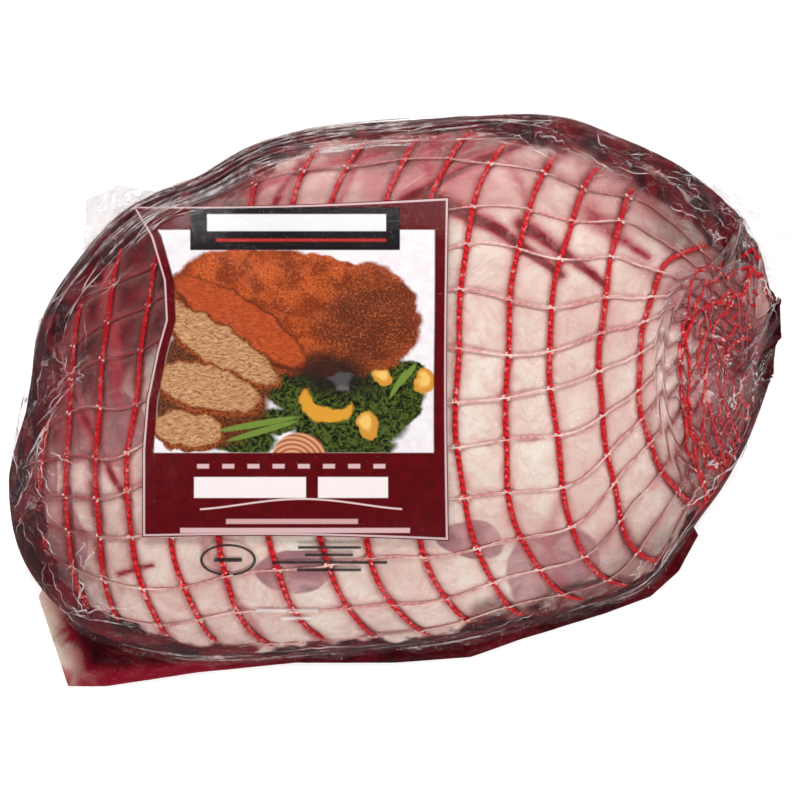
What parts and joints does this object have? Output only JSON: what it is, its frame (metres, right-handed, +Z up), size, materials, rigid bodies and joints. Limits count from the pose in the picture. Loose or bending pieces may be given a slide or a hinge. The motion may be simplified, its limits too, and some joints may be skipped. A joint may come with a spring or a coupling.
{
  "type": "vacuum-packed netted leg of lamb",
  "caption": "Raw boned leg of lamb rolled in a knitted roasting net and shrunk into a clear printed bag, with a gathered net end and loose bag margins round the foot.",
  "frame": {"origin": "centre of the pack's bounding box in plan, at the flat it rests on", "axes": "+X along the leg towards the gathered net end, +Y across it away from the juice-filled margin, +Z up"},
  "size_m": [0.2774, 0.2024, 0.0839],
  "materials": {
    "vacuum_pack": "clear wet-looking bag film tight over raw pink-white lamb fat, red net rings and dark red juice"
  },
  "bodies": {
    "root": {"vacuum_pack": "vacuum_pack"}
  },
  "joints": []
}
